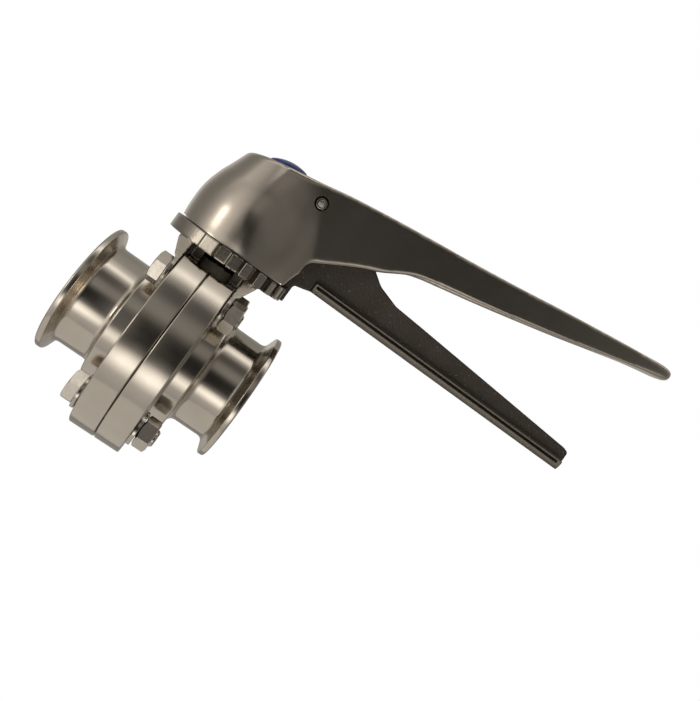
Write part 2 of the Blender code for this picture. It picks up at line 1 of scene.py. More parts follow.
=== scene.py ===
# %% [markdown]
# # A sanitary butterfly valve with a squeeze-trigger handle
# This lesson dresses a working model of the valve. The model is loaded as a fixed frame:
# its plain solids say where every piece is, and which pieces turn together. Each step makes
# one piece finer than its plain solid, in the same place, and gives it the finish of the
# real metal, rubber or plastic.

import math

import bmesh
import bpy
import numpy as np
from mathutils import Matrix, Vector


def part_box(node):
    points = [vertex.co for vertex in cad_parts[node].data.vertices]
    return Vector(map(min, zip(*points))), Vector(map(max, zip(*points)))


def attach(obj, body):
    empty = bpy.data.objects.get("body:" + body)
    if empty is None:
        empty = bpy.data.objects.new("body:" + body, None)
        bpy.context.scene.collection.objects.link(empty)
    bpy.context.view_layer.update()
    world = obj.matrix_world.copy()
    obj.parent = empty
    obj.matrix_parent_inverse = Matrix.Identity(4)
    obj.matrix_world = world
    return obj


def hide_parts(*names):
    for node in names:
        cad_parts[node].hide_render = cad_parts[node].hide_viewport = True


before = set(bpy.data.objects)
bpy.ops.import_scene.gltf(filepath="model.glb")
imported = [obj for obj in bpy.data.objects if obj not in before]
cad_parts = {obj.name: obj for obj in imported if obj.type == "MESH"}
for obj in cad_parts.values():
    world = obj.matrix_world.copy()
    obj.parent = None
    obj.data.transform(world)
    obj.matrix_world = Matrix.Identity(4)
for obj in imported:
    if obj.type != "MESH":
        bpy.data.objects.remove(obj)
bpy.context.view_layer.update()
print("frame loaded with", len(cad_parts), "solids")

# %% [markdown]
# ## Sizes that several pieces share
# The pipe runs along X and the stem along Z, through the origin. What the frame can tell is
# read from it, so a piece always fits its plain solid. The rest are the shop sizes of a two
# inch sanitary clamp end. Every size is in millimetres, as on a drawing, and the helpers
# turn it into the scene's metres.

# %% Shared sizes
MM = 0.001


def box_of(node):
    """The low and the high corner of a plain solid's box."""
    return [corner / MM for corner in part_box(node)]


def middle_of(node):
    low, high = box_of(node)
    return (low + high) / 2


SPLIT = box_of("body_half_right")[0].x
FACE_X, FLANGE_R, TOP_FLAT = box_of("body_half_right")[1]
BORE_R, TUBE_R, FERRULE_R = 23.75, 25.4, 32.0
BOLT_PLACE, BOLT_HOLE_R = middle_of("hex_nut_1").z, 4.5
BUSH_HOLE_R = 8.8
PLATE_LOW, PLATE_TOP = TOP_FLAT + 6.2, box_of("index_plate")[1].z
PIN = middle_of("trigger_pin")
print("face to face", round(2 * FACE_X, 1), "mm, flange", round(2 * FLANGE_R, 1), "mm")

# %% [markdown]
# ## The camera
# The valve is seen from its side, from a hand's height above the pipe and a little over a
# third of a metre away, with the camera rolled so that the pipe runs down to the right.
# Building the camera's own three directions from a yaw, a pitch and a roll keeps each of
# those readable. The small shift frames the valve a little off-centre.

# %% Camera
CAMERA_AT = Vector((16.1, -359.5, 60.7)) * MM
YAW, PITCH, ROLL = math.radians(-8.58), math.radians(-0.56), math.radians(-35.98)
SENSOR, FOCAL = 36.0, 39.51
SHIFT = (-0.0119, -0.0273)


def turn(angle, axis):
    return Matrix.Rotation(angle, 3, axis)


def into_scene(name, data):
    """A new object that shows this mesh, lamp or camera."""
    obj = bpy.data.objects.new(name, data)
    bpy.context.scene.collection.objects.link(obj)
    return obj


def camera():
    facing = turn(YAW, "Z") @ turn(PITCH, "X") @ turn(ROLL, "Y")
    right, up, ahead = (facing @ Vector(v) for v in ((1, 0, 0), (0, 0, 1), (0, 1, 0)))
    data = bpy.data.cameras.new("camera")
    data.sensor_width = SENSOR
    data.lens = FOCAL
    data.shift_x, data.shift_y = SHIFT
    data.clip_start = 0.01
    obj = into_scene("camera", data)
    obj.matrix_world = Matrix.Translation(CAMERA_AT) @ Matrix((right, up, -ahead)).transposed().to_4x4()
    bpy.context.scene.camera = obj
    return ahead


print("camera looks along", [round(c, 2) for c in camera()])

# %% [markdown]
# ## Profiles with rounded corners
# No edge of a real valve is quite sharp. A profile is written as its corners, each with the
# radius that breaks or fills it, because that is how a drawing gives it. The rounding arc
# touches both sides of the corner, so its centre lies on the line that halves the corner,
# and it never takes more than half of a side.

# %% Profiles
def rounded(corners, closed=True, segments=4):
    """Corners (a, b, radius) as points, with an arc in place of each corner."""
    points = []
    for i, (a, b, radius) in enumerate(corners):
        here = Vector((a, b))
        if radius == 0 or (not closed and i in (0, len(corners) - 1)):
            points.append(here)
            continue
        to_last = Vector(corners[i - 1][:2]) - here
        to_next = Vector(corners[(i + 1) % len(corners)][:2]) - here
        half = to_last.angle(to_next) / 2
        reach = min(radius / math.tan(half), 0.49 * to_last.length, 0.49 * to_next.length)
        inwards = (to_last.normalized() + to_next.normalized()).normalized()
        centre = here + inwards * reach / math.cos(half)
        start = here + to_last.normalized() * reach - centre
        sweep = start.angle_signed(here + to_next.normalized() * reach - centre)
        for k in range(segments + 1):
            points.append(centre + Matrix.Rotation(-sweep * k / segments, 2) @ start)
    return points


square_points = rounded([(0, 0, 1), (9, 0, 1), (9, 9, 1), (0, 9, 1)])
print("a square with four rounded corners has", len(square_points), "points")

# %% [markdown]
# ## Solids from a profile
# Most of a valve is turned on a lathe, so the helper used most spins a profile about an axis.
# The others make a block, a rod, and an outline extruded across its plane. Each starts from
# an operator or a few vertices, and leaves its faces pointing outwards.

# %% Solids
AXES = {"X": Vector((1, 0, 0)), "Y": Vector((0, 1, 0)), "Z": Vector((0, 0, 1))}


def move(bm, x=0.0, y=0.0, z=0.0):
    bmesh.ops.translate(bm, verts=bm.verts, vec=Vector((x, y, z)) * MM)
    return bm


def rotate(bm, angle, axis):
    bmesh.ops.rotate(bm, verts=bm.verts, cent=(0, 0, 0), matrix=turn(angle, axis))
    return bm


def spun(profile, axis="X", steps=160, closed=True):
    """Spin a profile of (radius, height) about an axis through the origin."""
    along = AXES[axis]
    out = AXES["Z"] if axis != "Z" else AXES["X"]
    bm = bmesh.new()
    verts = [bm.verts.new((out * r + along * h) * MM) for r, h in profile]
    ends = verts + verts[:1] if closed else verts
    edges = [bm.edges.new(pair) for pair in zip(ends, ends[1:])]
    bmesh.ops.spin(
        bm, geom=verts + edges, cent=(0, 0, 0), axis=along, dvec=(0, 0, 0),
        angle=math.tau, steps=steps, use_merge=True, use_duplicate=False)
    bmesh.ops.remove_doubles(bm, verts=bm.verts, dist=0.002 * MM)
    bmesh.ops.recalc_face_normals(bm, faces=bm.faces)
    return bm


def block(low, high):
    """A box between two corners."""
    low, high = Vector(low) * MM, Vector(high) * MM
    bm = bmesh.new()
    bmesh.ops.create_cube(bm, size=1, matrix=Matrix.LocRotScale((low + high) / 2, None, high - low))
    return bm


def rod(radius, low, high, axis="Z", sides=48):
    """A plain cylinder along an axis through the origin."""
    bm = bmesh.new()
    bmesh.ops.create_cone(
        bm, cap_ends=True, segments=sides, radius1=radius * MM, radius2=radius * MM,
        depth=(high - low) * MM)
    move(bm, z=(low + high) / 2)
    if axis == "X":
        rotate(bm, math.pi / 2, "Y")
    if axis == "Y":
        rotate(bm, -math.pi / 2, "X")
    return bm


def slab(outline, low, high, plane="XY"):
    """Extrude an outline of (a, b) points from low to high across its plane."""
    place = {
        "XY": lambda a, b, c: Vector((a, b, c)) * MM,
        "XZ": lambda a, b, c: Vector((a, c, b)) * MM,
        "YZ": lambda a, b, c: Vector((c, a, b)) * MM}[plane]
    bm = bmesh.new()
    face = bm.faces.new([bm.verts.new(place(a, b, low)) for a, b in outline])
    grown = bmesh.ops.extrude_face_region(bm, geom=[face])
    moved = [g for g in grown["geom"] if isinstance(g, bmesh.types.BMVert)]
    bmesh.ops.translate(bm, verts=moved, vec=place(0, 0, high - low))
    bmesh.ops.recalc_face_normals(bm, faces=bm.faces)
    return bm


print("a rod has", len(rod(1, 0, 1).faces), "faces, a block", len(block((0, 0, 0), (1, 1, 1)).faces))

# %% [markdown]
# ## Cutting and joining
# A drill or a milling cutter is a solid taken away from another. The boolean is done by
# modifiers on throwaway objects, because that solver copes with faces that touch, and the
# result comes back as a bmesh.

# %% Cutting and joining
def as_mesh(name, bm):
    """A bmesh written into a new mesh."""
    mesh = bpy.data.meshes.new(name)
    bm.to_mesh(mesh)
    bm.free()
    return mesh


def held(bm, name="held"):
    """Put a bmesh into a throwaway object."""
    return into_scene(name, as_mesh(name, bm))


def shaped(obj):
    """Take an object with its modifiers back as a bmesh, and drop the object."""
    bpy.context.view_layer.update()
    done = obj.evaluated_get(bpy.context.evaluated_depsgraph_get())
    bm = bmesh.new()
    bm.from_mesh(done.to_mesh())
    bpy.data.objects.remove(obj)
    return bm


def combine(bm, *tools, operation="DIFFERENCE"):
    """Cut tools from a bmesh, or join or intersect them with it."""
    obj = held(bm)
    others = [held(tool, "tool") for tool in tools]
    for other in others:
        change = obj.modifiers.new("cut", "BOOLEAN")
        change.operation = operation
        change.object = other
        change.solver = "EXACT"
    bm = shaped(obj)
    for other in others:
        bpy.data.objects.remove(other)
    return bm


print("a drilled block has", len(combine(block((0, 0, 0), (4, 4, 1)), rod(1, -1, 2)).faces), "faces")

# %% [markdown]
# ## Melting a casting
# Metal that was poured into a mould has soft edges and filled corners everywhere. Bevels
# would need every edge to be picked out, so the shape is rebuilt in small cells instead, and
# then relaxed: every vertex eases half way to the middle of its neighbours.

# %% Melting
def relax(bm):
    bmesh.ops.smooth_vert(
        bm, verts=bm.verts, factor=0.5, use_axis_x=True, use_axis_y=True, use_axis_z=True)
    return bm


def cast(bm, grain, passes=3):
    """Rebuild a shape in cells of this grain, and relax it a few times."""
    obj = held(bm)
    melt = obj.modifiers.new("melt", "REMESH")
    melt.mode = "VOXEL"
    melt.voxel_size = grain * MM
    bm = shaped(obj)
    for _ in range(passes):
        relax(bm)
    return bm


print("a melted block has", len(cast(block((0, 0, 0), (4, 4, 4)), 0.5).faces), "faces")

# %% [markdown]
# ## Finishing a piece
# A finished piece sits at the origin with its place in its mesh. It is shaded smooth except
# across real edges, takes one material, stands for its plain solid and rides on its body.

# %% Piece helper
VALVE, HANDLE, TRIGGER = "valve_body", "handle_and_disc", "trigger_lever"


def piece(name, bm, material, slot, body, *stands_for, sharp=38):
    mesh = as_mesh(name, bm)
    mesh.shade_smooth()
    mesh.set_sharp_from_angle(angle=math.radians(sharp))
    mesh.materials.append(material)
    obj = into_scene(name, mesh)
    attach(obj, body)
    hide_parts(*stands_for)
    print(name, len(mesh.polygons), "faces")


# %% [markdown]
# ## Colours and a node helper
# Colours are written as the hex values that a paint chart or a screen shows, and one
# function turns them to linear light. One more adds a node: each of its inputs is given a
# value, or another node's output to follow. A pattern's scale comes from a real size, and
# most finishes let patterns like that vary their colour and their roughness a little.

# %% Colour and node helpers
def colour(code):
    """An sRGB hex value as linear RGBA."""
    parts = [int(code[i:i + 2], 16) / 255 for i in (1, 3, 5)]
    return tuple(c / 12.92 if c <= 0.04045 else ((c + 0.055) / 1.055) ** 2.4 for c in parts) + (1.0,)


def connect(tree, node, inputs):
    """Give inputs, by name or number, a value or another node's output."""
    for key, source in inputs.items():
        if isinstance(source, bpy.types.NodeSocket):
            tree.links.new(source, node.inputs[key])
        else:
            node.inputs[key].default_value = source


def add_node(tree, kind, inputs=None, **settings):
    """Add a node with its settings and inputs."""
    node = tree.nodes.new(kind)
    for key, value in settings.items():
        setattr(node, key, value)
    connect(tree, node, inputs or {})
    return node


def new_material(name, **constants):
    """A material with a Principled shader, its constants set straight on the shader."""
    mat = bpy.data.materials.new(name)
    mat.use_nodes = True
    shader = mat.node_tree.nodes["Principled BSDF"]
    connect(mat.node_tree, shader, {key.replace("_", " "): value for key, value in constants.items()})
    return mat, mat.node_tree, shader


def vary(tree, shader, mottle, tones, grain, roughness):
    """Let one pattern mix two tones, and another move the roughness between two values."""
    tone = add_node(
        tree, "ShaderNodeMix", {0: mottle, 6: colour(tones[0]), 7: colour(tones[1])}, data_type="RGBA")
    dull = add_node(tree, "ShaderNodeMapRange", {0: grain, 3: roughness[0], 4: roughness[1]})
    connect(tree, shader, {"Base Color": tone.outputs[2], "Roughness": dull.outputs[0]})


def per_mm(size):
    """A texture scale at which one cell is about this wide."""
    return 1 / (size * MM)


print("black is", colour("#000000"))

# %% [markdown]
# ## Turned stainless steel
# The body is 304 stainless steel, turned on a lathe and left with its fine rings. The tool
# leaves a groove a few tenths of a millimetre apart, which runs round the pipe, so the metal
# looks silky: a highlight is drawn out across the grooves and stays narrow along them. The
# sheen is turned to run across the rings, and the pattern is noise that depends only on the
# distance along the pipe and out from it. A second, wide noise dulls some patches, as
# handling does.

# %% Turned steel
def turned_steel(name, axis, base, worn, rough, ring=0.35, depth=0.006):
    mat, tree, shader = new_material(name, Metallic=1.0, Anisotropic=0.75, Anisotropic_Rotation=0.25)
    where = add_node(tree, "ShaderNodeTexCoord").outputs["Object"]
    parts = add_node(tree, "ShaderNodeSeparateXYZ", {0: where}).outputs
    number = "XYZ".index(axis)
    two_across = [parts[i] for i in range(3) if i != number]
    flat = add_node(tree, "ShaderNodeCombineXYZ", dict(enumerate(two_across)))
    out = add_node(tree, "ShaderNodeVectorMath", {0: flat.outputs[0]}, operation="LENGTH")
    rings = add_node(tree, "ShaderNodeCombineXYZ", {0: parts[number], 1: out.outputs["Value"]})
    grooves = add_node(tree, "ShaderNodeTexNoise", {
        "Vector": rings.outputs[0], "Scale": per_mm(ring), "Detail": 3.0, "Roughness": 0.7})
    handled = add_node(tree, "ShaderNodeTexNoise", {
        "Vector": where, "Scale": per_mm(14), "Detail": 4.0, "Roughness": 0.6}).outputs[0]
    vary(tree, shader, handled, (base, worn), handled, (rough * 0.75, rough * 1.3))
    bump = add_node(tree, "ShaderNodeBump", {
        "Height": grooves.outputs[0], "Strength": 0.5, "Distance": depth * MM})
    round_axis = add_node(
        tree, "ShaderNodeVectorMath", {0: where, 1: -AXES[axis]}, operation="CROSS_PRODUCT")
    connect(tree, shader, {"Normal": bump.outputs[0], "Tangent": round_axis.outputs[0]})
    return mat


steel_along_x = turned_steel(
    "turned stainless steel, rings round the pipe", "X", "#d6cfc4", "#c6beb1", 0.18)
steel_along_y = turned_steel(
    "turned stainless steel, rings round the disc", "Y", "#d6d0c6", "#c4bcb0", 0.2)
print("turned steels made")

# %% [markdown]
# ## Cast stainless steel
# The handle and the index plate are investment castings. The handle was linished on a belt,
# which leaves a soft sheen and faint short scratches; the plate was only tumbled, so it
# keeps the orange-peel skin of its shell. Both are the same pattern at two strengths: a fine
# grain, a wide mottle and a waviness of several millimetres. The grain is drawn coarser than
# the real one, which would be too fine to show.

# %% Cast steel
def cast_steel(name, base, shade, rough, grain, grain_depth, wave_depth):
    mat, tree, shader = new_material(name, Metallic=1.0)
    where = add_node(tree, "ShaderNodeTexCoord").outputs["Object"]
    mottle = add_node(tree, "ShaderNodeTexNoise", {
        "Vector": where, "Scale": per_mm(9), "Detail": 5.0, "Roughness": 0.6}).outputs[0]
    skin = add_node(tree, "ShaderNodeTexNoise", {
        "Vector": where, "Scale": per_mm(grain), "Detail": 4.0, "Roughness": 0.65}).outputs[0]
    waves = add_node(tree, "ShaderNodeTexNoise", {"Vector": where, "Scale": per_mm(16), "Detail": 1.0})
    vary(tree, shader, mottle, (base, shade), skin, (rough * 0.8, rough * 1.25))
    wavy = add_node(tree, "ShaderNodeBump", {
        "Height": waves.outputs[0], "Strength": 0.6, "Distance": wave_depth * MM})
    fine = add_node(tree, "ShaderNodeBump", {
        "Height": skin, "Normal": wavy.outputs[0], "Strength": 0.6, "Distance": grain_depth * MM})
    connect(tree, shader, {"Normal": fine.outputs[0]})
    return mat


linished = cast_steel("linished cast stainless steel", "#cfc7bb", "#c2b9ad", 0.23, 0.8, 0.004, 0.2)
tumbled = cast_steel("tumbled cast stainless steel", "#bab4aa", "#9f988c", 0.27, 1.1, 0.035, 0.15)
print("cast steels made")

# %% [markdown]
# ## Bright fasteners
# Bolts, nuts and washers are cold-formed stainless steel, which comes bright from the die.
# Small scuffs from the spanner break the shine into lighter and duller spots.

# %% Bright steel
def bright_steel():
    mat, tree, shader = new_material("cold-formed bright stainless steel", Metallic=1.0)
    where = add_node(tree, "ShaderNodeTexCoord").outputs["Object"]
    scuffs = add_node(tree, "ShaderNodeTexNoise", {
        "Vector": where, "Scale": per_mm(2.2), "Detail": 6.0, "Roughness": 0.7}).outputs[0]
    vary(tree, shader, scuffs, ("#dcd6cc", "#b7afa3"), scuffs, (0.12, 0.32))
    bump = add_node(tree, "ShaderNodeBump", {"Height": scuffs, "Strength": 0.3, "Distance": 0.02 * MM})
    connect(tree, shader, {"Normal": bump.outputs[0]})
    return mat


bright = bright_steel()
print(bright.name)

# %% [markdown]
# ## The dark cast lever
# The lever is a sand casting, grey and gritty, with bright specks where the grit was knocked
# off. The two long edges of its finger flange are coloured lighter, so the colour follows
# the distance out from the middle of the lever. Grit and specks are drawn coarser than they
# are, so that they show.

# %% Grey casting
def grey_casting():
    lighter_from, lighter_full = 7.6 * MM, 8.9 * MM
    mat, tree, shader = new_material("sand-cast grey lever metal", Metallic=0.85)
    where = add_node(tree, "ShaderNodeTexCoord").outputs["Object"]
    grit = add_node(tree, "ShaderNodeTexNoise", {
        "Vector": where, "Scale": per_mm(1.5), "Detail": 5.0, "Roughness": 0.7}).outputs[0]
    patches = add_node(tree, "ShaderNodeTexNoise", {"Vector": where, "Scale": per_mm(12), "Detail": 3.0})
    specks = add_node(tree, "ShaderNodeTexVoronoi", {"Vector": where, "Scale": per_mm(2.4)})
    chips = add_node(
        tree, "ShaderNodeMath", {0: specks.outputs["Distance"], 1: 0.1}, operation="LESS_THAN")
    body = add_node(
        tree, "ShaderNodeMix", {0: patches.outputs[0], 6: colour("#6a645e"), 7: colour("#575149")},
        data_type="RGBA")
    chipped = add_node(
        tree, "ShaderNodeMix", {0: chips.outputs[0], 6: body.outputs[2], 7: colour("#a9a49c")},
        data_type="RGBA")
    parts = add_node(tree, "ShaderNodeSeparateXYZ", {0: where})
    out = add_node(tree, "ShaderNodeMath", {0: parts.outputs[1]}, operation="ABSOLUTE")
    # The flange's two long edges are coloured lighter, ramping in from 7.6 to 8.9 mm out from the middle.
    lighter_edge_mask = add_node(tree, "ShaderNodeMapRange", {0: out.outputs[0], 1: lighter_from, 2: lighter_full})
    tone = add_node(
        tree, "ShaderNodeMix", {0: lighter_edge_mask.outputs[0], 6: chipped.outputs[2], 7: colour("#968f85")},
        data_type="RGBA")
    dull = add_node(tree, "ShaderNodeMapRange", {0: grit, 3: 0.40, 4: 0.66})
    bump = add_node(tree, "ShaderNodeBump", {"Height": grit, "Strength": 1.0, "Distance": 0.3 * MM})
    connect(tree, shader, {
        "Base Color": tone.outputs[2], "Roughness": dull.outputs[0], "Normal": bump.outputs[0]})
    return mat


grey_cast = grey_casting()
print(grey_cast.name)

# %% [markdown]
# ## Rubber and plastics
# The seat is translucent silicone, the bushes are PTFE, the seal is black nitrile rubber,
# and the plug on top is glossy blue plastic. All are moulded, so each has one even colour
# with a faint mottle, and the skin that its mould left: soft on rubber, waxy on PTFE and
# like a mirror on the plug.

# %% Moulded finishes
def moulded(name, base, shade, rough, grain, **constants):
    mat, tree, shader = new_material(name, **constants)
    where = add_node(tree, "ShaderNodeTexCoord").outputs["Object"]
    cloud = add_node(tree, "ShaderNodeTexNoise", {
        "Vector": where, "Scale": per_mm(6), "Detail": 3.0}).outputs[0]
    skin = add_node(tree, "ShaderNodeTexNoise", {
        "Vector": where, "Scale": per_mm(grain), "Detail": 3.0}).outputs[0]
    vary(tree, shader, cloud, (base, shade), skin, (rough * 0.85, rough * 1.2))
    bump = add_node(tree, "ShaderNodeBump", {"Height": skin, "Strength": 0.4, "Distance": 0.02 * MM})
    connect(tree, shader, {"Normal": bump.outputs[0]})
    return mat


silicone = moulded(
    "milky silicone rubber", "#e3dfd6", "#d2cdc2", 0.5, 0.8, IOR=1.43, Subsurface_Weight=0.15)
ptfe = moulded("white PTFE", "#efece4", "#e2ded4", 0.42, 0.6, IOR=1.38)
nitrile = moulded("black nitrile rubber", "#1d1c1b", "#262524", 0.55, 0.5, IOR=1.52)
blue = moulded("glossy blue plastic", "#0c3f96", "#083182", 0.14, 1.6, IOR=1.5, Coat_Weight=0.3)
print("finishes made:", len(bpy.data.materials))

# %% [markdown]
# ## The two body halves
# Each half is one turned piece: a thick flange, a collar, a stub of tube and the ferrule that
# the pipe clamp grips. The profile is read like the drawing, from the bore outwards over the
# gasket groove, down the 20 degree back that the clamp wedges on, along the tube, and out
# over the collar and flange to the split face. The left half is the same shape turned round.
# Boolean cuts then make the flat on top, the bores for the stem and the four bolt holes.

# %% Body halves
FERRULE_RIM, GROOVE_DEPTH, WEDGE = 2.85, 1.4, math.radians(20)
COLLAR_R, COLLAR_X, FLANGE_BACK = 31.9, 21.4, 12.7
RECESS_R, RECESS_X = 31.3, 9.0


def body_profile():
    back, groove = FACE_X - FERRULE_RIM, FACE_X - GROOVE_DEPTH
    wedge_foot = back - (FERRULE_R - TUBE_R) * math.tan(WEDGE)
    return rounded([
        (BORE_R, FACE_X, 0.25), (26.5, FACE_X, 0.3), (27.5, groove, 0.9), (29.0, groove, 0.9),
        (30.0, FACE_X, 0.3), (FERRULE_R, FACE_X, 0.9), (FERRULE_R, back, 0.9),
        (TUBE_R, wedge_foot, 3.0), (TUBE_R, COLLAR_X, 3.2), (COLLAR_R, COLLAR_X, 1.0),
        (COLLAR_R, FLANGE_BACK, 1.2), (FLANGE_R, FLANGE_BACK, 0.7), (FLANGE_R, SPLIT, 0.7),
        (RECESS_R, SPLIT, 0.2), (RECESS_R, RECESS_X, 0.2), (BORE_R, RECESS_X, 0.2)])


def body_half(side):
    top_cut = block((-20, -60, TOP_FLAT), (20, 60, 80))
    stem_ways = [rod(BUSH_HOLE_R, 29, 60), rod(BUSH_HOLE_R, -43.6, -29)]
    bolt_holes = [
        move(rod(BOLT_HOLE_R, -1, 14, "X", 32), y=y, z=z)
        for y in (-BOLT_PLACE, BOLT_PLACE) for z in (-BOLT_PLACE, BOLT_PLACE)]
    bm = combine(spun(body_profile(), "X", 176), top_cut, *stem_ways, *bolt_holes)
    return bm if side > 0 else rotate(bm, math.pi, "Z")


for side_name, side in (("right", 1), ("left", -1)):
    node = f"body_half_{side_name}"
    piece(f"{node}_turned", body_half(side), steel_along_x, "turned_steel", VALVE, node)

# %% [markdown]
# ## Seat, bushes and seal
# The seat is a thick silicone ring with two small lips that swell where the disc meets it.
# The bushes are short plastic sleeves, the lower one closed at its foot. They are turned
# shapes too, and the seat is drilled across for the stem.

# %% Seat, bushes and seal
BUSH_R, STEM_WAY_R = 8.5, 6.3
SEAL_R, SEAL_CORD_R = 7.4, 1.0

seat_corners = [
    (24.6, 8.7, 0.4), (31.0, 8.7, 0.5), (31.0, -8.7, 0.5), (24.6, -8.7, 0.4), (23.8, -7.4, 0.8),
    (23.8, 7.4, 0.8)]
seat = combine(spun(rounded(seat_corners), "X", 120), rod(STEM_WAY_R, -40, 40))
piece("seat_silicone_ring", seat, silicone, "seat_rubber", VALVE, "seat_ring")
upper_corners = [
    (STEM_WAY_R, 44.0, 0.3), (BUSH_R, 44.0, 0.4), (BUSH_R, 31.6, 0.3), (STEM_WAY_R, 31.6, 0.3)]
upper_bush = spun(rounded(upper_corners), "Z", 64)
piece("upper_bush_sleeve", upper_bush, ptfe, "bush_plastic", VALVE, "upper_stem_bush")
lower_corners = [
    (0, -42.3, 0), (STEM_WAY_R, -42.3, 0.3), (STEM_WAY_R, -31.6, 0.3), (BUSH_R, -31.6, 0.3),
    (BUSH_R, -43.3, 0.5), (0, -43.3, 0)]
lower_bush = spun(rounded(lower_corners, closed=False), "Z", 64, closed=False)
piece("lower_bush_cup", lower_bush, ptfe, "bush_plastic", VALVE, "lower_stem_bush")
seal_height = middle_of("stem_o_ring").z
seal_corners = [
    (SEAL_R + a * SEAL_CORD_R, seal_height + b * SEAL_CORD_R, SEAL_CORD_R)
    for a, b in ((-1, 1), (1, 1), (1, -1), (-1, -1))]
seal = spun(rounded(seal_corners, segments=5), "Z", 64)
piece("stem_seal", seal, nitrile, "seal_rubber", VALVE, "stem_o_ring")

# %% [markdown]
# ## Disc and stem
# The disc is a lens with a rounded rim that meets the seat all round, and a boss across it
# where the stem passes. The boss and the lens are joined and melted together like the
# casting they are turned from; the stem, with the square that drives it, is crisp and is
# joined afterwards.

# %% Disc and stem
DISC_R, STEM_R, SHOULDER, SQUARE_HALF = 23.35, 6.0, 54.0, 4.2
SQUARE_TOP = box_of("valve_disc")[1].z

lens_corners = [
    (0, 5.6, 0), (8.0, 5.0, 8.0), (20.5, 2.3, 6.0), (DISC_R, 2.0, 0.8), (DISC_R, -2.0, 0.8),
    (20.5, -2.3, 6.0), (8.0, -5.0, 8.0), (0, -5.6, 0)]
lens = spun(rounded(lens_corners, closed=False), "Y", 120, closed=False)
disc = cast(combine(lens, rod(6.9, -22.0, 22.0), operation="UNION"), 0.55, 4)
stem_corners = [(0, SHOULDER, 0), (STEM_R, SHOULDER, 0.5), (STEM_R, -42.0, 0.8), (0, -42.0, 0)]
stem = spun(rounded(stem_corners, closed=False), "Z", 64, closed=False)
square = block((-SQUARE_HALF, -SQUARE_HALF, SHOULDER - 0.5), (SQUARE_HALF, SQUARE_HALF, SQUARE_TOP))
upright_edges = [e for e in square.edges if abs(e.verts[0].co.z - e.verts[1].co.z) > MM]
bmesh.ops.bevel(
    square, geom=upright_edges, offset=0.5 * MM, affect="EDGES", segments=2, profile=0.5, material=-1)
disc = combine(combine(disc, stem, square, operation="UNION"), rod(3.0, 70, 90))
piece("disc_and_stem", disc, steel_along_y, "turned_steel", HANDLE, "valve_disc")

# %% [markdown]
# ## Bolts, nuts and washers
# A hexagon head is a prism whose corners a turned cone has cut away, so it is the meeting of
# a prism and a turned shape. The thread that stands out of the nut is drawn as its ridges,
# one and a quarter millimetres apart. Making one bolt lying along X and moving it to its
# place keeps all four alike, and each is turned a different amount, as a spanner leaves it.

# %% Hexagons and threads
POINTS_R = 13.0 / math.sqrt(3)             # 13 mm across the flats
CHAMFER_R, CHAMFER = 6.11, 0.9
PITCH_M8, CREST_R, ROOT_OF_THREAD = 1.25, 3.98, 3.42


def hexagon(low, high, turned_by, both_ends=False):
    """A hexagon along X between two places, with its corners turned away."""
    prism = rotate(rod(POINTS_R, low, high, "X", 6), turned_by, "X")
    corner_r = POINTS_R + 0.3
    profile = [(0, high), (CHAMFER_R * 0.75, high), (CHAMFER_R, high), (corner_r, high - CHAMFER)]
    profile += [(corner_r, low + CHAMFER), (CHAMFER_R, low)] if both_ends else [(corner_r, low)]
    turned_shape = spun(profile + [(0, low)], "X", 64, closed=False)
    return combine(prism, turned_shape, operation="INTERSECT")


def thread(low, high):
    """A threaded rod along X, its ridges as turned grooves over the last 14 mm."""
    profile = [(0, low), (4.0, low)]
    x = high - 14
    while x < high - 1.6:
        profile += [
            (CREST_R, x), (CREST_R, x + 0.18), (ROOT_OF_THREAD, x + PITCH_M8 / 2),
            (ROOT_OF_THREAD, x + PITCH_M8 / 2 + 0.1)]
        x += PITCH_M8
    profile += [(CREST_R, x), (CREST_R, high - 0.8), (3.2, high), (0, high)]
    return spun(profile, "X", 48, closed=False)


print("a nut measures", round(2 * POINTS_R, 2), "mm over its points")

# %% [markdown]
# Each bolt is made between its plain solid's ends, from the head's outer face to the tip.
# The nut has a bore that flares at both ends, where the thread starts.

# %% Fasteners
def bolt_set(number, turned_by):
    """One bolt and its nut, at their place."""
    bolt_box, nut_box = box_of(f"hex_bolt_{number}"), box_of(f"hex_nut_{number}")
    place = middle_of(f"hex_nut_{number}")
    seat_x, nut_top = nut_box[0].x, nut_box[1].x
    head = rotate(hexagon(seat_x, -bolt_box[0].x, turned_by), math.pi, "Z")
    bolt = combine(head, thread(-seat_x - 1, bolt_box[1].x), operation="UNION")
    bolt = move(bolt, y=place.y, z=place.z)
    piece(f"bolt_{number}", bolt, bright, "bright_steel", VALVE, f"hex_bolt_{number}")
    flare = spun([
        (0, seat_x - 1), (5.0, seat_x - 1), (5.0, seat_x), (4.3, seat_x + 0.7),
        (4.3, nut_top - 0.7), (5.0, nut_top), (5.0, nut_top + 1), (0, nut_top + 1)],
        "X", 48, closed=False)
    nut = combine(hexagon(seat_x, nut_top, turned_by - 0.15, both_ends=True), flare)
    nut = move(nut, y=place.y, z=place.z)
    piece(f"nut_{number}", nut, bright, "bright_steel", VALVE, f"hex_nut_{number}")


def plain_washer(node):
    low, high = box_of(node)
    place = middle_of(node)
    profile = rounded([(4.3, high.x, 0.1), (8.0, high.x, 0.35), (8.0, low.x, 0.15), (4.3, low.x, 0.1)])
    washer = move(spun(profile, "X", 64), y=place.y, z=place.z)
    piece(f"{node}_plain", washer, bright, "bright_steel", VALVE, node)


for number, turned_by in enumerate((0.38, 0.1, 0.33, 0.25), 1):
    bolt_set(number, turned_by)
    for node in (f"washer_left_{number}", f"washer_right_{number}"):
        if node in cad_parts:
            plain_washer(node)

